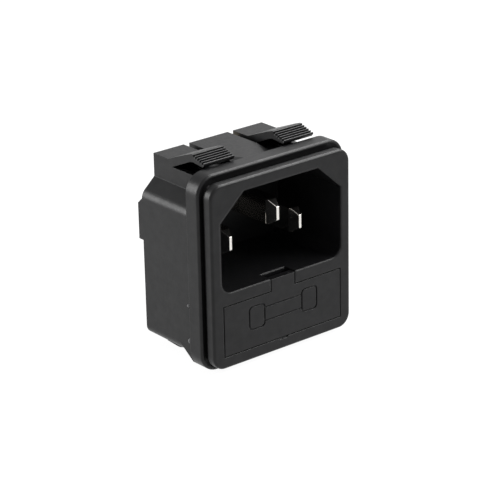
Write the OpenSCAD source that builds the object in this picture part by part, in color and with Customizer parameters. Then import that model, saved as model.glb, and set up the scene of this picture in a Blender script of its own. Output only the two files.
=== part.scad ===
// Snap-in mains inlet with a pull-out fuse drawer, in millimetres.
// Origin: middle of the panel cut-out, on the panel side of the flange.
// X is to the right seen from the front, Y runs back into the equipment, Z is up.

/* [Flange and face plate] */
// Width of the flange that stops against the panel
flange_w = 29.1; // [28.6:0.1:30]
// Height of the flange
flange_h = 31.9; // [31.6:0.1:33]
// Thickness of the flange
flange_t = 2.8; // [2.4:0.05:3.6]
// Corner radius of the flange
flange_r = 3.1; // [2.5:0.1:3.5]
// Undercut of the flange's front behind its outer edge
flange_dish = 0.8; // [0.5:0.05:1.2]
// Width of the face plate in front of the flange
face_w = 27.7; // [27.3:0.1:28]
// Height of the face plate
face_h = 29.95; // [29.6:0.05:30.4]
// Radius of the face plate's corners
face_r = 2.2; // [1.8:0.1:2.6]
// Thickness of the face plate
face_t = 1.6; // [1.3:0.05:2]
// Width of the groove between face plate and the flange's outer edge
groove_w = 0.6; // [0.4:0.05:1]
// Depth of the groove below the face plate's edge
groove_d = 0.8; // [0.4:0.05:0.9]
// Rounding of the outer edges of flange and face plate
edge_r = 0.4; // [0.2:0.05:0.6]
// Height of the flange's middle above the cut-out's middle
front_z = -0.4; // [-0.6:0.1:0]
// Height of the face plate's middle above the flange's middle
face_z = -0.1; // [-0.3:0.05:0.1]

/* [Body behind the panel] */
// Width of the body
body_w = 26.8; // [26.6:0.1:27.2]
// Height of the shoulders' lower ends above the cut-out's middle
shoulder_z = 8.8; // [8.4:0.05:9]
// Depth of the underside below the cut-out's middle
body_low = 14.85; // [14.7:0.05:15]
// Length of the body behind the panel
body_d = 12.65; // [12.2:0.05:14]
// Radius of the shoulders
shoulder_r = 2.0; // [1.2:0.1:2.6]
// Radius of the lower corners
foot_r = 1.5; // [0.8:0.1:2]
// Width over the two latch blocks
upper_w = 21.7; // [21.4:0.1:22]
// Height of the latch blocks and the middle ridge
upper_top = 14.85; // [14.7:0.05:15]
// Height of the low side walls beside the latch pockets
wall_top = 13.75; // [13.6:0.05:14.2]
// Thickness of the low side walls
wall_t = 0.8; // [0.6:0.05:1]
// Width of the middle ridge
ridge_w = 7.7; // [7:0.1:8]
// Width of the slots between ridge and blocks
slot_w = 1.1; // [0.9:0.1:1.3]
// Length of the latch blocks
block_d = 3.65; // [3:0.05:4]
// Drop of the wedges under the body where they meet the flange
wedge_h = 1.35; // [0.8:0.05:1.4]
// Length of the wedges under the body
wedge_l = 4.2; // [3:0.1:4.6]
// Distance of the wedges from the middle
wedge_in = 8.5; // [8:0.1:9]
// Height of the two low noses behind the wedges
nose_h = 0.15; // [0.1:0.05:0.4]
// Distance of the noses' rear ends behind the flange
nose_y = 8.5; // [7.5:0.1:9]
// Width of the middle ridge where it meets the flange
waist_w = 2.4; // [2:0.1:4]
// Length over which the middle ridge narrows
waist_l = 5.4; // [3:0.1:6]
// Slope of the facets that narrow the ridge, in degrees
waist_tilt = 16; // [10:1:40]
// Distance from the shoulders' lower ends down to the ears' lower ends
ear_h = 7.7; // [6:0.1:9]
// Step of the rear ears behind the body
ear_d = 1.05; // [0.6:0.05:1.2]
// Thickness of the rear cover
cover_t = 1.25; // [1:0.05:1.5]
// Thickness of the wall between inlet and cover
back_t = 1.0; // [0.8:0.05:1.2]

/* [Latch arms] */
// Height of the crest of the latch arms
crest_z = 17.15; // [17:0.05:17.3]
// Number of grooves between the ribs of each latch head
rib_n = 5; // [4:1:6]
// Spacing of the ribs
rib_pitch = 0.51; // [0.48:0.01:0.54]
// Depth of the valleys between the ribs
rib_d = 0.46; // [0.2:0.02:0.46]
// Drop from one rib to the next towards the flange
rib_drop = 0.16; // [0.12:0.01:0.2]
// Gap between the flange and the nearest rib
rib_gap = 0.1; // [0.1:0.05:0.5]
// Thickness of the latch arms
arm_t = 1.15; // [1:0.05:1.3]

/* [Inlet] */
// Width of the inlet opening
inlet_w = 24.1; // [24:0.05:24.4]
// Height of the inlet opening
inlet_h = 15.75; // [15.7:0.05:16]
// Width of the flat top of the opening
inlet_top_w = 14.75; // [14:0.05:15.4]
// Height of the upright sides of the opening
inlet_side_h = 11.55; // [11.2:0.05:12]
// Radius of the lower corners of the opening
inlet_r = 2.0; // [1:0.1:3]
// Height of the line and neutral pins above the cut-out's middle
pin_z = 2.8; // [2.7:0.05:2.9]
// Distance of the line and neutral pins from the opening's lower edge
pin_rise = 5.94; // [5.9:0.01:6]
// Spacing of line and neutral pins
pin_pitch = 14.0; // [13.9:0.1:14.1]
// Height of the earth pin above the other two
earth_rise = 4.0; // [3.9:0.1:4.1]
// Thickness of the pins
pin_w = 2.0; // [1.9:0.1:2.1]
// Height of the pins
pin_h = 4.0; // [3.8:0.1:4.2]
// Narrowing of the pins' ends on each side
pin_cut = 0.78; // [0.5:0.02:0.8]
// Length of the narrowed ends
pin_cut_l = 1.8; // [1:0.1:2]
// Chamfer above and below the pins' ends
pin_nose = 0.92; // [0.5:0.02:1.1]
// Length of that chamfer
pin_nose_l = 1.35; // [0.5:0.05:1.5]
// Distance of the line and neutral pin ends from the face
pin_tip = 3.9; // [3.5:0.1:4.5]
// Distance of the earth pin end from the face
earth_tip = 0.95; // [0.5:0.05:1.5]

/* [Fuse drawer] */
// Width of the drawer front
drawer_w = 23.4; // [23:0.1:23.6]
// Height of the drawer front
drawer_h = 8.1; // [8:0.05:8.2]
// Height of the drawer's middle above the cut-out's middle
drawer_z = -9.35; // [-9.4:0.05:-9.3]
// Gap around the drawer
drawer_gap = 0.18; // [0.08:0.01:0.2]
// Thickness of the drawer front
drawer_t = 1.8; // [1.4:0.1:2.2]
// Width of the pull tab
tab_w = 4.6; // [4:0.1:5.5]
// Thickness of the pull tab
tab_t = 1.1; // [0.9:0.1:1.3]
// Depth of the finger notch behind the face
notch_d = 2.5; // [2.3:0.1:3]
// Width of the nick below the drawer
nick_w = 1.6; // [1:0.1:3]
// Height of the nick below the drawer
nick_h = 0.25; // [0.1:0.05:0.4]
// Depth of the nick below the drawer
nick_d = 0.2; // [0.1:0.05:0.6]
// Depth of the lines of the fuse sign
sign_d = 0.2; // [0.1:0.05:0.3]
// Width of the lines of the fuse sign
sign_line = 0.28; // [0.2:0.02:0.4]

/* [Fuse] */
// Diameter of the fuse caps
fuse_dia = 5.2; // [5:0.1:5.3]
// Length of the fuse
fuse_l = 20.0; // [19.8:0.1:20.2]
// Length of the fuse caps
cap_l = 5.0; // [4.5:0.1:5.5]
// Wall of the fuse caps
cap_t = 0.25; // [0.2:0.01:0.3]
// Distance of the fuse behind the flange's panel side
fuse_y = 5.8; // [5.6:0.1:6.2]

/* [Terminals] */
// Width of the quick-connect tabs
lug_w = 6.3; // [4.8:0.1:6.3]
// Thickness of the quick-connect tabs
lug_t = 0.8; // [0.8:0.05:1]
// Length of the tabs behind the cover
lug_l = 9.0; // [7.5:0.5:10]
// Distance of a lug's blade from its pin
lug_step = 1.6; // [1.2:0.1:2]
// Margin of a lug's foot round its pin
lug_rim = 1.0; // [0.8:0.1:1.2]
// Thickness of the fuse springs and the link strip
strip_t = 0.4; // [0.3:0.05:0.5]

/* [Hidden] */
$fn = 48;
face_y = -(face_t + groove_w + flange_t);
cover_y = body_d - cover_t;
floor_y = cover_y - back_t;
inlet_d = floor_y - face_y;
fit = 0.1;
inlet_low = pin_z - pin_rise;
inlet_top = inlet_low + inlet_h;
shroud_t = 1.0;
shroud_top = inlet_top + shroud_t;
block_in = ridge_w / 2 + slot_w;
block_y = body_d - block_d;
arm_w = upper_w / 2 - block_in;
crest_y = rib_gap + (rib_n + 0.3) * rib_pitch;
bay_w = drawer_w + 2 * drawer_gap;
bay_h = drawer_h + 2 * drawer_gap;
bay_low = drawer_z - bay_h / 2;
bay_top = drawer_z + bay_h / 2;
tab_top = inlet_low - 0.1;
slope = (inlet_h - inlet_side_h) / (inlet_w / 2 - inlet_top_w / 2);
bend = atan(1 / slope);
bend_l = shoulder_r * tan(bend / 2);
cover_w = bay_w / 2 + 0.2;
cover_top = inlet_top - 2.4;
cover_cut = 4.6;
spring_x = bay_w / 2 - 0.05;
cap_x = fuse_l / 2;
tray_w = fuse_l - 0.8;
tray_back = fuse_y + fuse_dia / 2 + 0.9;
plastic = [0.13, 0.13, 0.135];
drawer_plastic = [0.12, 0.12, 0.125];
nickel = [0.8, 0.79, 0.76];
brass = [0.78, 0.66, 0.36];
glass = [0.85, 0.9, 0.9];

// Which piece to show

// Rounded rectangle round the origin.
module round_rect(w, h, r) {
  square([w - 2 * r, h], center = true);
  square([w, h - 2 * r], center = true);
  for (sx = [-1, 1])
    for (sy = [-1, 1])
      translate([sx * (w / 2 - r), sy * (h / 2 - r)])
        circle(r);
}

// Edge section of a plate: from the middle out to reach, front edge rounded, front face hollowed by dish.
module edge_section(reach, t, r, dish) {
  difference() {
    union() {
      square([reach - r, t]);
      square([reach, t - r]);
      translate([reach - r, t - r])
        circle(r);
    }
    if (dish > 0)
      polygon([[-1, t - dish], [reach - 2.2, t - dish], [reach - r, t + 0.001], [-1, t + 1]]);
  }
}

// Plate with a rounded front edge: corners revolved, sides swept, front face at z = t.
module edged_plate(w, h, corner, t, r, dish) {
  linear_extrude(t - dish)
    square([w - 2 * corner, h - 2 * corner], center = true);
  for (i = [0 : 3])
    rotate([0, 0, 90 * i]) {
      long = i % 2 == 0 ? h - 2 * corner : w - 2 * corner;
      out = i % 2 == 0 ? w / 2 - corner : h / 2 - corner;
      translate([out, long / 2, 0])
        rotate([90, 0, 0])
          linear_extrude(long)
            edge_section(corner, t, r, dish);
      translate([out, long / 2, 0])
        rotate_extrude(angle = 90)
          edge_section(corner, t, r, dish);
    }
}

// Turns a part drawn flat (x, z) so that it runs back from y0 for len.
module along_y(y0, len) {
  translate([0, y0 + len, 0])
    rotate([90, 0, 0])
      linear_extrude(len)
        children();
}

// Block between two corners.
module block(lo, hi) {
  translate(lo)
    cube(hi - lo);
}

// Outline of the inlet opening grown by g.
module inlet_outline(g) {
  w = inlet_w / 2 + g;
  tw = inlet_top_w / 2 + g * 0.42;
  side = inlet_low + inlet_side_h + g * 0.42;
  r = inlet_r + g;
  polygon([
    [-w + r, inlet_low - g], [w - r, inlet_low - g], [w, inlet_low - g + r], [w, side],
    [tw, inlet_top + g], [-tw, inlet_top + g], [-w, side], [-w, inlet_low - g + r]
  ]);
  for (sx = [-1, 1])
    translate([sx * (w - r), inlet_low - g + r])
      circle(r);
}

// Body outline behind the flange: sloped shoulders run along the shroud, lower corners are rounded.
module body_outline() {
  w = body_w / 2;
  top_x = w - (wall_top - shoulder_z) / slope;
  polygon([
    [-w + foot_r, -body_low], [w - foot_r, -body_low], [w, -body_low + foot_r], [w, shoulder_z - bend_l],
    [w - bend_l * sin(bend), shoulder_z + bend_l * cos(bend)], [top_x, wall_top], [-top_x, wall_top],
    [-w + bend_l * sin(bend), shoulder_z + bend_l * cos(bend)], [-w, shoulder_z - bend_l], [-w, -body_low + foot_r]
  ]);
  for (sx = [-1, 1]) {
    translate([sx * (w - foot_r), -body_low + foot_r])
      circle(foot_r);
    translate([sx * (w - shoulder_r), shoulder_z - bend_l])
      circle(shoulder_r);
  }
}

// Face plate, groove and flange in front of the panel.
module front_plates() {
  translate([0, 0, front_z]) {
    rotate([90, 0, 0])
      edged_plate(flange_w, flange_h, flange_r, flange_t, edge_r, flange_dish);
    translate([0, 0, face_z]) {
      along_y(-(flange_t + groove_w) - 0.1, groove_w + flange_dish + 0.2)
        round_rect(face_w - 2 * groove_d, face_h - 2 * groove_d, face_r - groove_d);
      translate([0, -(flange_t + groove_w), 0])
        rotate([90, 0, 0])
          edged_plate(face_w, face_h, face_r, face_t, edge_r, 0);
    }
  }
}

// One sprung latch arm with its ribbed head, on the side given by s.
module latch_arm(s) {
  tip_z = crest_z - rib_n * rib_drop;
  span = block_y - crest_y;
  rise = crest_z - upper_top;
  x0 = s > 0 ? block_in : -upper_w / 2;
  translate([x0, 0, 0])
    rotate([90, 0, 90])
      linear_extrude(arm_w)
        polygon(concat(
          [[block_y + 0.3, upper_top - arm_t], [block_y + 0.3, upper_top], [block_y, upper_top]],
          [[block_y - 0.76 * span, upper_top + 0.82 * rise], [crest_y + 0.4, crest_z - 0.04]],
          [for (i = [0 : rib_n - 1])
            each [
              [crest_y - i * rib_pitch, crest_z - i * rib_drop],
              [crest_y - (i + 0.24) * rib_pitch, crest_z - i * rib_drop - 0.03],
              [crest_y - (i + 0.3) * rib_pitch, crest_z - i * rib_drop - rib_d],
              [crest_y - (i + 0.95) * rib_pitch, crest_z - (i + 1) * rib_drop - rib_d]
            ]],
          [[crest_y - rib_n * rib_pitch, tip_z], [rib_gap, tip_z - 0.04], [rib_gap, tip_z - 0.26 * arm_t]],
          [[rib_gap + 0.3, tip_z - 0.6 * arm_t], [crest_y, crest_z - 1.09 * arm_t]],
          [[crest_y + 0.12 * span, crest_z - 1.22 * arm_t], [block_y - 0.14 * span, upper_top - arm_t]]
        ));
}

// Housing: front, inlet shroud, drawer bay, latch blocks and arms in one moulding.
module housing_solid() {
  front_plates();
  along_y(-0.1, body_d + 0.1)
    body_outline();
  // Upper part: middle ridge, latch blocks, low side walls and the shroud's roof.
  block([-ridge_w / 2, -0.1, shoulder_z], [ridge_w / 2, body_d, upper_top]);
  for (s = [-1, 1]) {
    x0 = s > 0 ? block_in : -upper_w / 2;
    block([x0, block_y, shoulder_z], [x0 + arm_w, body_d, upper_top]);
    xw = s > 0 ? upper_w / 2 - wall_t : -upper_w / 2;
    block([xw, -0.1, shoulder_z], [xw + wall_t, block_y + 0.1, wall_top]);
    latch_arm(s);
  }
  // Wedges under the body that take up the play in the cut-out, with low noses behind them.
  for (s = [-1, 1]) {
    wide = body_w / 2 - wedge_in;
    intersection() {
      translate([s > 0 ? wedge_in : -body_w / 2, 0, 0])
        rotate([90, 0, 90])
          linear_extrude(wide)
            polygon([
              [-0.1, -body_low - wedge_h], [0.1, -body_low - wedge_h],
              [wedge_l, -body_low + foot_r], [-0.1, -body_low + foot_r]
            ]);
      along_y(-0.2, wedge_l + 0.4)
        translate([0, front_z])
          round_rect(flange_w, flange_h, flange_r);
    }
    translate([s > 0 ? wedge_in : -wedge_in - wide + foot_r * 0.6, 0, 0])
      rotate([90, 0, 90])
        linear_extrude(wide - foot_r * 0.6)
          polygon([
            [nose_y, -body_low], [nose_y - 2.3, -body_low - nose_h], [nose_y - 3.1, -body_low - nose_h],
            [nose_y - 3.7, -body_low], [nose_y - 3.7, -body_low + 0.5], [nose_y, -body_low + 0.5]
          ]);
  }
  // Ears of the side walls that stand behind the cover.
  for (s = [-1, 1])
    translate([s > 0 ? body_w / 2 - cover_t : -body_w / 2, 0, 0])
      rotate([90, 0, 90])
        linear_extrude(cover_t)
          polygon([
            [body_d - 0.2, shoulder_z - ear_h], [body_d + ear_d, shoulder_z - ear_h],
            [body_d + ear_d, shoulder_z - 0.7 - ear_d], [body_d - 0.2, shoulder_z - 0.6]
          ]);
}

module housing() {
  color(plastic)
    difference() {
      housing_solid();
      // Pockets beside and above the shroud, below the latch arms, and the slots beside the ridge.
      for (s = [-1, 1])
        difference() {
          xa = s > 0 ? ridge_w / 2 : -upper_w / 2 + wall_t;
          xb = s > 0 ? upper_w / 2 - wall_t : -ridge_w / 2;
          xs = s > 0 ? ridge_w / 2 : -block_in;
          union() {
            block([xa, 0.01, shoulder_z + 1], [xb, block_y - 0.15, upper_top - arm_t - 0.05]);
            block([xs, 0.01, shoulder_z + 1], [xs + slot_w, body_d + 1, upper_top + 1]);
            intersection() {
              block([-ridge_w / 2 - 0.01, 0.01, shoulder_z + 1], [ridge_w / 2 + 0.01, waist_l + 0.1, upper_top + 1]);
              translate([s * ridge_w / 2, waist_l, upper_top])
                rotate([0, 0, s * -atan((ridge_w - waist_w) / 2 / waist_l)])
                  rotate([0, s * waist_tilt, 0])
                    translate([s > 0 ? 0 : -6, -2 * waist_l, 0])
                      cube([6, 3 * waist_l, 6]);
            }
          }
          along_y(-1, body_d + 2)
            inlet_outline(shroud_t);
        }
      // Inlet cavity.
      along_y(face_y - 1, inlet_d + 1)
        inlet_outline(0);
      // Drawer bay, open to the back, and the finger notch above it.
      block([-bay_w / 2, face_y - 1, bay_low], [bay_w / 2, cover_y + 0.1, bay_top]);
      block([-tab_w / 2 - drawer_gap, face_y - 1, bay_top - 0.5], [tab_w / 2 + drawer_gap, face_y + notch_d, inlet_low + 0.5]);
      // Small nick below the drawer for a tool.
      block([-nick_w / 2, face_y - 1, bay_low - nick_h], [nick_w / 2, face_y + nick_d, bay_low + 0.1]);
      // Seat of the rear cover.
      along_y(cover_y, body_d)
        cover_outline(fit);
      // Holes for the three pins through the floor.
      for (p = [[-pin_pitch / 2, pin_z], [pin_pitch / 2, pin_z], [0, pin_z + earth_rise]])
        block(
          [p[0] - pin_w / 2 - 0.05, floor_y - 1, p[1] - pin_h / 2 - 0.05],
          [p[0] + pin_w / 2 + 0.05, cover_y + 0.5, p[1] + pin_h / 2 + 0.05]
        );
    }
}

// Outline of the rear cover grown by g.
module cover_outline(g) {
  w = cover_w + g;
  low = bay_low - 0.1 - g;
  polygon([
    [-w, low], [w, low], [w, cover_top - cover_cut], [cover_w - cover_cut / slope, cover_top + g],
    [-cover_w + cover_cut / slope, cover_top + g], [-w, cover_top - cover_cut]
  ]);
}

// Rear cover that closes the housing and guides the terminals.
module rear_cover() {
  color(plastic)
    difference() {
      along_y(cover_y + 0.02, cover_t - 0.02)
        cover_outline(0);
      for (p = [[-pin_pitch / 2, pin_z], [pin_pitch / 2, pin_z], [0, pin_z + earth_rise]])
        block(
          [p[0] - pin_w / 2 - 0.05, cover_y - 1, p[1] - pin_h / 2 - 0.05],
          [p[0] + pin_w / 2 + 0.05, body_d + 1, p[1] + pin_h / 2 + 0.05]
        );
      for (s = [-1, 1])
        block(
          [s * (spring_x - lug_t / 2) - lug_t / 2 - 0.05, cover_y - 1, drawer_z - lug_w / 2 - 0.05],
          [s * (spring_x - lug_t / 2) + lug_t / 2 + 0.05, body_d + 1, drawer_z + lug_w / 2 + 0.05]
        );
    }
}

// Tray of the drawer: front, floor, spare-fuse pocket and cradle.
module fuse_drawer() {
  front_y = face_y;
  floor_t = 0.9;
  low = drawer_z - drawer_h / 2;
  top = drawer_z + drawer_h / 2;
  side = drawer_w / 2;
  pocket_back = fuse_y - fuse_dia / 2 - 0.9;
  post_x = cap_x - cap_l / 2 - 0.1;
  color(drawer_plastic)
    difference() {
      union() {
        block([-side, front_y, low], [side, front_y + drawer_t, top]);
        block([-tab_w / 2, front_y, top - 0.5], [tab_w / 2, front_y + tab_t, tab_top]);
        block([-side, front_y + drawer_t - 0.1, low], [side, pocket_back, low + floor_t]);
        block([-tray_w / 2, pocket_back - 0.1, low], [tray_w / 2, tray_back, low + floor_t]);
        for (s = [-1, 1])
          block([s > 0 ? side - 0.9 : -side, front_y + drawer_t - 0.1, low], [s > 0 ? side : -side + 0.9, pocket_back, top - 0.8]);
        block([-side, pocket_back - 0.9, low], [side, pocket_back, top - 0.8]);
        block([-tray_w / 2, tray_back - 0.9, low], [tray_w / 2, tray_back, drawer_z + 0.8]);
        for (s = [-1, 1])
          block([s * post_x - 1.2, pocket_back - 0.1, low], [s * post_x + 1.2, tray_back - 0.1, drawer_z - 0.4]);
      }
      // Cradle for the fuse caps.
      translate([-side - 1, fuse_y, drawer_z])
        rotate([0, 90, 0])
          cylinder(h = drawer_w + 2, r = fuse_dia / 2 + 0.02);
      fuse_sign();
    }
}

// Fuse sign cut into the drawer front: two caps and the lines of the body.
module fuse_sign() {
  z0 = drawer_z + 0.1 * drawer_h;
  cap_h = 0.5 * drawer_h;
  cap_w = 0.142 * drawer_w;
  in_x = 0.155 * drawer_w;
  line_z = 0.14 * drawer_h;
  for (s = [-1, 1])
    translate([s * (in_x + cap_w / 2), 0, z0])
      along_y(face_y - 1, 1 + sign_d)
        difference() {
          round_rect(cap_w, cap_h, 0.8);
          round_rect(cap_w - 2 * sign_line, cap_h - 2 * sign_line, 0.8 - sign_line);
        }
  for (s = [-1, 1])
    block(
      [-in_x, face_y - 1, z0 + s * line_z - sign_line / 2],
      [in_x, face_y + sign_d, z0 + s * line_z + sign_line / 2]
    );
}

// Glass tube of the fuse.
module fuse_tube() {
  r = fuse_dia / 2 - cap_t - 0.02;
  color(glass, 0.4)
    translate([-fuse_l / 2 + cap_t + 0.02, fuse_y, drawer_z])
      rotate([0, 90, 0])
        difference() {
          cylinder(h = fuse_l - 2 * cap_t - 0.04, r = r);
          translate([0, 0, -1])
            cylinder(h = fuse_l + 2, r = r - 0.6);
        }
}

// Cap at one end of the fuse.
module fuse_cap(s) {
  color(nickel)
    translate([s * fuse_l / 2, fuse_y, drawer_z])
      rotate([0, -90 * s, 0])
        difference() {
          cylinder(h = cap_l, r = fuse_dia / 2);
          translate([0, 0, cap_t])
            cylinder(h = cap_l, r = fuse_dia / 2 - cap_t);
        }
}

module fuse_cap_left() {
  fuse_cap(-1);
}

module fuse_cap_right() {
  fuse_cap(1);
}

// Melting wire from cap to cap.
module fuse_wire() {
  color(nickel)
    translate([-fuse_l / 2 + cap_t, fuse_y, drawer_z])
      rotate([0, 90, 0])
        cylinder(h = fuse_l - 2 * cap_t, r = 0.2, $fn = 12);
}

// Flat pin with a tapered end, from tip to the staked end behind the cover.
module flat_pin(x, z, tip, tail) {
  y0 = face_y + tip;
  color(nickel)
    translate([x, 0, z])
      intersection() {
        translate([-pin_w / 2, 0, 0])
          rotate([90, 0, 90])
            linear_extrude(pin_w)
              polygon([
                [y0, -pin_h / 2 + pin_nose], [y0 + pin_nose_l, -pin_h / 2], [tail, -pin_h / 2],
                [tail, pin_h / 2], [y0 + pin_nose_l, pin_h / 2], [y0, pin_h / 2 - pin_nose]
              ]);
        translate([0, 0, -pin_h])
          linear_extrude(2 * pin_h)
            polygon([
              [-pin_w / 2 + pin_cut, y0], [pin_w / 2 - pin_cut, y0], [pin_w / 2, y0 + pin_cut_l],
              [pin_w / 2, tail], [-pin_w / 2, tail], [-pin_w / 2, y0 + pin_cut_l]
            ]);
      }
}

module line_pin() {
  flat_pin(-pin_pitch / 2, pin_z, pin_tip, body_d + strip_t + 0.3);
}

module neutral_pin() {
  flat_pin(pin_pitch / 2, pin_z, pin_tip, body_d + lug_t + 0.3);
}

module earth_pin() {
  flat_pin(0, pin_z + earth_rise, earth_tip, body_d + lug_t + 0.3);
}

// Quick-connect blade drawn flat: x across, y along, with a hole and a tapered end.
module blade(w, len) {
  difference() {
    polygon([
      [-w / 2, 0], [w / 2, 0], [w / 2, len - 1.2], [w / 2 - 1, len], [-w / 2 + 1, len], [-w / 2, len - 1.2]
    ]);
    translate([0, len - 0.57 * w])
      circle(0.135 * w);
  }
}

// Neutral terminal: foot staked on the pin, blade standing back from it.
module neutral_lug() {
  x = pin_pitch / 2;
  foot_x = x + pin_w / 2 + lug_step;
  color(brass)
    difference() {
      union() {
        block([x - pin_w / 2 - lug_rim, body_d, pin_z - lug_w / 2], [foot_x, body_d + lug_t, pin_z + lug_w / 2]);
        translate([foot_x - lug_t, body_d + 0.1, pin_z])
          rotate([0, 90, 0])
            linear_extrude(lug_t)
              blade(lug_w, lug_l - 0.1);
      }
      block(
        [x - pin_w / 2, body_d - 1, pin_z - pin_h / 2],
        [x + pin_w / 2, body_d + lug_t + 1, pin_z + pin_h / 2]
      );
    }
}

// Earth terminal: foot staked on the pin, blade above it.
module earth_lug() {
  z = pin_z + earth_rise;
  foot_z = z + pin_h / 2 + lug_step;
  color(brass)
    difference() {
      union() {
        block([-lug_w / 2, body_d, z - pin_h / 2 - lug_rim], [lug_w / 2, body_d + lug_t, foot_z]);
        translate([0, body_d + 0.1, foot_z - lug_t])
          linear_extrude(lug_t)
            blade(lug_w, lug_l - 0.1);
      }
      block([-pin_w / 2, body_d - 1, z - pin_h / 2], [pin_w / 2, body_d + lug_t + 1, z + pin_h / 2]);
    }
}

// Sprung leaf beside the fuse cap, seen from above: x out to the bay wall, y back.
module spring_leaf(s) {
  out = spring_x;
  touch = cap_x + 0.02;
  mid = [fuse_y - 2.4, fuse_y, fuse_y + 2.4];
  scale_x = s;
  polygon([
    [scale_x * out, cover_y + 0.3], [scale_x * out, mid[2]], [scale_x * (touch + strip_t), mid[1]],
    [scale_x * (out - 0.2), mid[0]], [scale_x * (out - 0.2 - strip_t), mid[0] + 0.1],
    [scale_x * touch, mid[1]], [scale_x * (out - strip_t), mid[2] + 0.1], [scale_x * (out - strip_t), cover_y + 0.3]
  ]);
}

// Fuse spring on the line side, with the strip that joins it to the line pin.
module line_link() {
  x = -pin_pitch / 2;
  color(brass)
    difference() {
      union() {
        translate([0, 0, drawer_z - 1.6])
          linear_extrude(3.2)
            spring_leaf(-1);
        block([-spring_x, cover_y + 0.2, drawer_z - 1.6], [-spring_x + strip_t, body_d + strip_t, drawer_z + 1.6]);
        block([-spring_x, body_d, drawer_z - 1.6], [x - 2.2, body_d + strip_t, drawer_z + 1.6]);
        block([-spring_x, body_d, drawer_z - 1.6], [-spring_x + 2.6, body_d + strip_t, pin_z + 2.8]);
        block([-spring_x, body_d, pin_z - 2.8], [x + 1.9, body_d + strip_t, pin_z + 2.8]);
      }
      block(
        [x - pin_w / 2, body_d - 1, pin_z - pin_h / 2],
        [x + pin_w / 2, body_d + 1, pin_z + pin_h / 2]
      );
    }
}

// Fuse spring on the load side; the strip is doubled behind the cover into a quick-connect blade.
module load_spring() {
  color(brass) {
    translate([0, 0, drawer_z - 1.6])
      linear_extrude(3.2)
        spring_leaf(1);
    translate([spring_x - lug_t, 0, 0])
      block([0, cover_y + 0.1, drawer_z - lug_w / 2], [lug_t, body_d + 0.2, drawer_z + lug_w / 2]);
    translate([spring_x - lug_t, body_d, drawer_z])
      rotate([0, 90, 0])
        linear_extrude(lug_t)
          blade(lug_w, lug_l);
  }
}

housing();
rear_cover();
fuse_drawer();
fuse_tube();
fuse_cap_left();
fuse_cap_right();
fuse_wire();
line_pin();
neutral_pin();
earth_pin();
neutral_lug();
earth_lug();
line_link();
load_spring();
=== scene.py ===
# Looks for the snap-in mains inlet: materials, floor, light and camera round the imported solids.
import math

import bmesh
import bpy
from mathutils import Matrix, Vector


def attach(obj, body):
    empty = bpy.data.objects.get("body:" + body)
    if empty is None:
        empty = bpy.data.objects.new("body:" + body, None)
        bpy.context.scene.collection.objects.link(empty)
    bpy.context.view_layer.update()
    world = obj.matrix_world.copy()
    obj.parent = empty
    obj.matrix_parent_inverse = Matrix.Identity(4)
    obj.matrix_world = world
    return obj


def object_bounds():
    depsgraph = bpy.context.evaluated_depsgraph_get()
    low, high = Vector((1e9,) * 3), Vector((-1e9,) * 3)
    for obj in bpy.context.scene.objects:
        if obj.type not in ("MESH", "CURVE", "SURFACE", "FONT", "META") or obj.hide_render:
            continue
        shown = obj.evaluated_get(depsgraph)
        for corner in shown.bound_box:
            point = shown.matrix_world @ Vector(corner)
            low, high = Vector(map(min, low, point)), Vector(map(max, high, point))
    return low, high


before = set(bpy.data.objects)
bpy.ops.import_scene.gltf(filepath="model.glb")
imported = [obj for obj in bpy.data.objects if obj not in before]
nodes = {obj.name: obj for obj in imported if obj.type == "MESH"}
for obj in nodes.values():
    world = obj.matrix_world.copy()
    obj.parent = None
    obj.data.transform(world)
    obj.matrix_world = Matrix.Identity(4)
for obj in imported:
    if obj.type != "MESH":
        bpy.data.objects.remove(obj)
cad_box = [list(v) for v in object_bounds()]
scene = bpy.context.scene

MM = 0.001
# A noise texture's values lie mostly between these two.
NOISE_LOW, NOISE_HIGH = 0.3, 0.7
BEVEL_SAMPLES = 6

# The inlet's opening in the face plate: its width, height and the height of its middle.
MOUTH_W, MOUTH_H, MOUTH_Z = 24.1 * MM, 15.75 * MM, 4.735 * MM
# Width of the rim that is rounded with the opening, and of the change to the radius outside it.
MOUTH_RIM, MOUTH_FADE = 0.9 * MM, 0.3 * MM
# In front of the panel, the depth in which the front's edge radius turns into the back's.
PANEL_FADE = 0.5 * MM


def new_material(name):
    """Empty node material with its output and principled shader."""
    m = bpy.data.materials.new(name)
    m.use_nodes = True
    t = m.node_tree
    t.nodes.clear()
    out = t.nodes.new("ShaderNodeOutputMaterial")
    p = t.nodes.new("ShaderNodeBsdfPrincipled")
    t.links.new(p.outputs["BSDF"], out.inputs["Surface"])
    return m, t, p


def feed(t, socket, value):
    """Puts a plain number into a socket, or links another node's output to it."""
    if isinstance(value, (int, float)):
        socket.default_value = value
    else:
        t.links.new(value, socket)


def object_coords(t):
    return t.nodes.new("ShaderNodeTexCoord").outputs["Object"]


def noise(t, coords, scale, detail=3.0, rough=0.5, distortion=0.0):
    n = t.nodes.new("ShaderNodeTexNoise")
    n.inputs["Scale"].default_value = scale
    n.inputs["Detail"].default_value = detail
    n.inputs["Roughness"].default_value = rough
    n.inputs["Distortion"].default_value = distortion
    t.links.new(coords, n.inputs["Vector"])
    return n.outputs["Fac"]


def remap(t, value, low, high, start=NOISE_LOW, end=NOISE_HIGH):
    """Goes from low to high, each a number or an output, as the value goes from start to end."""
    r = t.nodes.new("ShaderNodeMapRange")
    r.inputs["From Min"].default_value = start
    r.inputs["From Max"].default_value = end
    feed(t, r.inputs["To Min"], low)
    feed(t, r.inputs["To Max"], high)
    t.links.new(value, r.inputs["Value"])
    return r.outputs["Result"]


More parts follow.
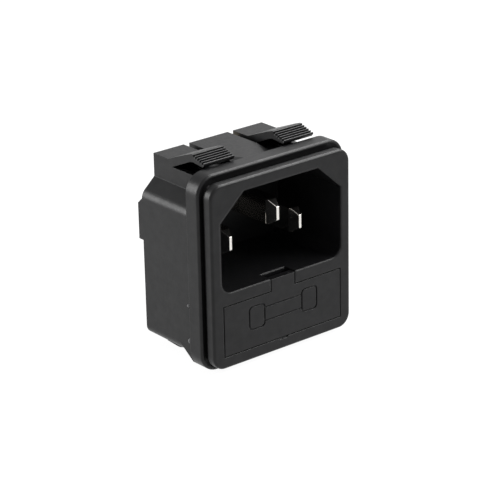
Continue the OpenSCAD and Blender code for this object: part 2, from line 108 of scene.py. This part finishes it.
def blend(t, value, dark, light, start=NOISE_LOW, end=NOISE_HIGH):
    """Goes from a dark to a light colour as the value goes from start to end."""
    r = t.nodes.new("ShaderNodeValToRGB")
    for stop, place, colour in zip(r.color_ramp.elements, (start, end), (dark, light)):
        stop.position = place
        stop.color = (*colour, 1.0)
    t.links.new(value, r.inputs["Fac"])
    return r.outputs["Color"]


def calc(t, operation, *values):
    """Math node on outputs or plain numbers."""
    n = t.nodes.new("ShaderNodeMath")
    n.operation = operation
    for socket, value in zip(n.inputs, values):
        feed(t, socket, value)
    return n.outputs[0]


def rounded(t, radius):
    """Normals that round off the edges by a radius, a number or an output."""
    b = t.nodes.new("ShaderNodeBevel")
    b.samples = BEVEL_SAMPLES
    feed(t, b.inputs["Radius"], radius)
    return b.outputs["Normal"]


def bump(t, height, strength, depth, normal=None):
    b = t.nodes.new("ShaderNodeBump")
    b.inputs["Strength"].default_value = strength
    b.inputs["Distance"].default_value = depth
    t.links.new(height, b.inputs["Height"])
    if normal is not None:
        t.links.new(normal, b.inputs["Normal"])
    return b.outputs["Normal"]


def shell_radius(t, coords, front, back, mouth):
    """Edge radius of the housing: in front of the panel, behind it, and round the opening."""
    xyz = t.nodes.new("ShaderNodeSeparateXYZ")
    t.links.new(coords, xyz.inputs["Vector"])
    aside = calc(t, "SUBTRACT", calc(t, "ABSOLUTE", xyz.outputs["X"]), MOUTH_W / 2)
    off_middle = calc(t, "ABSOLUTE", calc(t, "SUBTRACT", xyz.outputs["Z"], MOUTH_Z))
    outside = calc(t, "MAXIMUM", aside, calc(t, "SUBTRACT", off_middle, MOUTH_H / 2))
    near = remap(t, outside, mouth, front, MOUTH_RIM, MOUTH_RIM + MOUTH_FADE)
    return remap(t, xyz.outputs["Y"], near, back, -PANEL_FADE, 0.0)


def moulded(name, base, grain, rough, shine, edge, edge_back=None, edge_mouth=None):
    """Moulded plastic: spark-eroded grain, faint flow clouds, uneven shine, rounded edges.

    rough is the lowest and highest roughness, grain the strength of the bumps. The radius edge
    holds everywhere, unless edge_back and edge_mouth give the housing's other two.
    """
    m, t, p = new_material(name)
    c = object_coords(t)
    cloud = noise(t, c, scale=130.0, detail=4.0, rough=0.55, distortion=0.6)
    speck = noise(t, c, scale=5200.0, detail=2.0, rough=0.6)
    pores = noise(t, c, scale=1900.0, detail=3.0, rough=0.55)
    gloss = noise(t, c, scale=650.0, detail=3.0, rough=0.6)

    speck_share = 0.35
    tone = calc(t, "MULTIPLY_ADD", speck, speck_share, remap(t, cloud, 0.0, 1.0 - speck_share))
    dark = tuple(v * 0.86 for v in base)
    light = tuple(v * 1.16 for v in base)
    t.links.new(blend(t, tone, dark, light, 0.1, 0.85), p.inputs["Base Color"])
    t.links.new(remap(t, pores, *rough), p.inputs["Roughness"])
    t.links.new(remap(t, gloss, shine * 0.9, shine * 1.1), p.inputs["Specular IOR Level"])

    radius = edge
    if edge_back is not None:
        radius = shell_radius(t, c, edge, edge_back, edge_mouth)
    pitted = bump(t, pores, grain, 0.02 * MM, rounded(t, radius))
    t.links.new(bump(t, speck, grain, 0.01 * MM, pitted), p.inputs["Normal"])
    return m


def metal(name, dark, light, rough, stretch, edge=None):
    """Plated strip or pin: fine drawn lines, small stains, softly rounded edges.

    The lines run along the axis with the small number in stretch.
    """
    m, t, p = new_material(name)
    c = object_coords(t)
    drawn = t.nodes.new("ShaderNodeMapping")
    drawn.inputs["Scale"].default_value = stretch
    t.links.new(c, drawn.inputs["Vector"])
    lines = noise(t, drawn.outputs["Vector"], scale=2600.0, detail=4.0, rough=0.65)
    stain = noise(t, c, scale=420.0, detail=4.0, rough=0.6, distortion=0.4)
    t.links.new(blend(t, stain, dark, light), p.inputs["Base Color"])
    t.links.new(remap(t, lines, *rough), p.inputs["Roughness"])
    p.inputs["Metallic"].default_value = 1.0
    smooth = None if edge is None else rounded(t, edge)
    t.links.new(bump(t, lines, 0.05, 0.01 * MM, smooth), p.inputs["Normal"])
    return m


def clear_glass(name):
    """Thin fuse glass with faint draw waves."""
    m, t, p = new_material(name)
    wave = noise(t, object_coords(t), scale=500.0, detail=2.0, rough=0.5)
    tint = blend(t, wave, (0.92, 0.96, 0.95), (0.97, 0.99, 0.99))
    t.links.new(tint, p.inputs["Base Color"])
    t.links.new(remap(t, wave, 0.02, 0.06), p.inputs["Roughness"])
    p.inputs["Transmission Weight"].default_value = 1.0
    p.inputs["IOR"].default_value = 1.47
    return m


def put(material, *names):
    for n in names:
        o = nodes[n]
        o.data.materials.clear()
        o.data.materials.append(material)


put(
    moulded(
        "housing_plastic", (0.0038, 0.0038, 0.0042), grain=0.22, rough=(0.32, 0.41), shine=0.25,
        edge=0.26 * MM, edge_back=0.08 * MM, edge_mouth=0.6 * MM,
    ),
    "housing",
)
put(
    moulded(
        "cover_plastic", (0.0042, 0.0042, 0.0045), grain=0.6, rough=(0.34, 0.46), shine=0.32,
        edge=0.12 * MM,
    ),
    "rear_cover",
)
put(
    moulded(
        "drawer_plastic", (0.0036, 0.0036, 0.0040), grain=0.3, rough=(0.32, 0.44), shine=0.26,
        edge=0.14 * MM,
    ),
    "fuse_drawer",
)
# Pale grey plastic for the side pips: a painted highlight that stands in for the glints light
# gives them.
pip_painted_highlight = moulded(
    "pale_pip_painted_highlight", (0.14, 0.14, 0.145), grain=0.6, rough=(0.3, 0.4), shine=0.3,
    edge=0.1 * MM,
)
put(
    metal(
        "pin_nickel", (0.70, 0.68, 0.64), (0.82, 0.80, 0.76), rough=(0.05, 0.12),
        stretch=(1.0, 0.06, 1.0), edge=0.15 * MM,
    ),
    "line_pin", "neutral_pin", "earth_pin",
)
put(
    metal(
        "fuse_cap_nickel", (0.72, 0.70, 0.66), (0.84, 0.82, 0.78), rough=(0.16, 0.3),
        stretch=(0.08, 1.0, 1.0),
    ),
    "fuse_cap_left", "fuse_cap_right", "fuse_wire",
)
put(
    metal(
        "contact_brass", (0.60, 0.46, 0.20), (0.78, 0.63, 0.32), rough=(0.26, 0.42),
        stretch=(1.0, 0.06, 1.0), edge=0.12 * MM,
    ),
    "neutral_lug", "earth_lug", "line_link", "load_spring",
)
put(clear_glass("fuse_glass"), "fuse_tube")


# Moulded pips on the sides just behind the flange, coloured pale as a painted highlight in place
# of their glints;
# they steady the body in the cut-out. Distances of their middles, half sizes, then each one's
# height and half height.
PIP_X, PIP_Y = 13.4 * MM, 1.5 * MM
PIP_OUT, PIP_DEEP = 0.34 * MM, 0.26 * MM
PIPS = ((-12.35 * MM, 0.42 * MM), (-6.45 * MM, 0.30 * MM))


def pip(name, middle, half):
    """Ellipsoid with the half sizes given, half sunk in the wall."""
    bm = bmesh.new()
    bmesh.ops.create_uvsphere(bm, u_segments=20, v_segments=10, radius=1.0)
    for v in bm.verts:
        v.co = middle + v.co * half
    bmesh.ops.recalc_face_normals(bm, faces=bm.faces)
    me = bpy.data.meshes.new("side_pip")
    bm.to_mesh(me)
    bm.free()
    me.shade_smooth()
    o = bpy.data.objects.new(name, me)
    o.data.materials.append(pip_painted_highlight)
    scene.collection.objects.link(o)
    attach(o, "module")


for letter, side in (("l", -1), ("r", 1)):
    for k, (z, tall) in enumerate(PIPS):
        middle = Vector((side * PIP_X, PIP_Y, z))
        pip("side_pip_%s_%d" % (letter, k), middle, Vector((PIP_OUT, PIP_DEEP, tall)))

# Plain pale floor, lit by itself so that it fills the picture evenly.
FLOOR_SIZE = 4.0
bpy.ops.mesh.primitive_plane_add(size=FLOOR_SIZE, location=(0, 0, cad_box[0][2]))
floor = bpy.context.object
floor.name = "studio_floor"
m, t, p = new_material("floor_white")
patches = noise(t, object_coords(t), scale=60.0)
t.links.new(blend(t, patches, (0.07, 0.07, 0.07), (0.09, 0.09, 0.09)), p.inputs["Base Color"])
p.inputs["Emission Color"].default_value = (1.0, 1.0, 1.0, 1.0)
p.inputs["Emission Strength"].default_value = 0.96
p.inputs["Roughness"].default_value = 0.9
p.inputs["Specular IOR Level"].default_value = 0.1
floor.data.materials.append(m)

# White surroundings, which the top faces reflect. The upright faces reflect the floor.
world = bpy.data.worlds.new("studio")
scene.world = world
world.use_nodes = True
sky = world.node_tree.nodes["Background"]
sky.inputs["Color"].default_value = (1, 1, 1, 1)
sky.inputs["Strength"].default_value = 0.69


def area(name, where, size, watts):
    """Square light that looks at the part."""
    d = bpy.data.lights.new(name, "AREA")
    d.shape = "SQUARE"
    d.size = size
    d.energy = watts
    o = bpy.data.objects.new(name, d)
    o.location = where
    o.rotation_euler = (-Vector(where)).to_track_quat("-Z", "Y").to_euler()
    scene.collection.objects.link(o)


# Light for the lines on the front's upper edges, for the ribs, and a little for the left side.
area("edge_light", (0.348, -0.222, 0.432), size=0.40, watts=4.6)
area("rib_light", (0.36, 0.22, 0.43), size=0.26, watts=1.8)
area("side_light", (-0.40, 0.45, 0.12), size=0.32, watts=2.5)

# Camera solved from the photo: angles in radians, focal length and width in the photo's pixels.
AZIMUTH, ELEVATION, ROLL = 0.68368, 0.38170, -0.02042
FOCAL_PX, PHOTO_PX = 2227.27, 500.0
SENSOR = 36.0
# It is placed from a point in the face plate's plane, in front of the line and neutral pins'
# middle. The three distances run along its own right, up and forward directions, in mm.
BEFORE_PINS = Vector((0, -5.0, 2.8)) * MM
EYE_RIGHT, EYE_UP, EYE_FORWARD = -4.962, -1.630, -341.035

forward = Vector((
    math.sin(AZIMUTH) * math.cos(ELEVATION),
    math.cos(AZIMUTH) * math.cos(ELEVATION),
    -math.sin(ELEVATION),
))
level = Vector((math.cos(AZIMUTH), -math.sin(AZIMUTH), 0.0))
upright = level.cross(forward)
right = level * math.cos(ROLL) + upright * math.sin(ROLL)
up = -level * math.sin(ROLL) + upright * math.cos(ROLL)
eye = (EYE_RIGHT * right + EYE_UP * up + EYE_FORWARD * forward) * MM + BEFORE_PINS
cam_data = bpy.data.cameras.new("camera")
cam_data.sensor_width = SENSOR
cam_data.lens = FOCAL_PX / PHOTO_PX * SENSOR
cam_data.clip_start = 0.01
cam = bpy.data.objects.new("camera", cam_data)
cam.matrix_world = Matrix((
    (right.x, up.x, -forward.x, eye.x),
    (right.y, up.y, -forward.y, eye.y),
    (right.z, up.z, -forward.z, eye.z),
    (0, 0, 0, 1),
))
scene.collection.objects.link(cam)
scene.camera = cam
scene.view_settings.view_transform = "Standard"
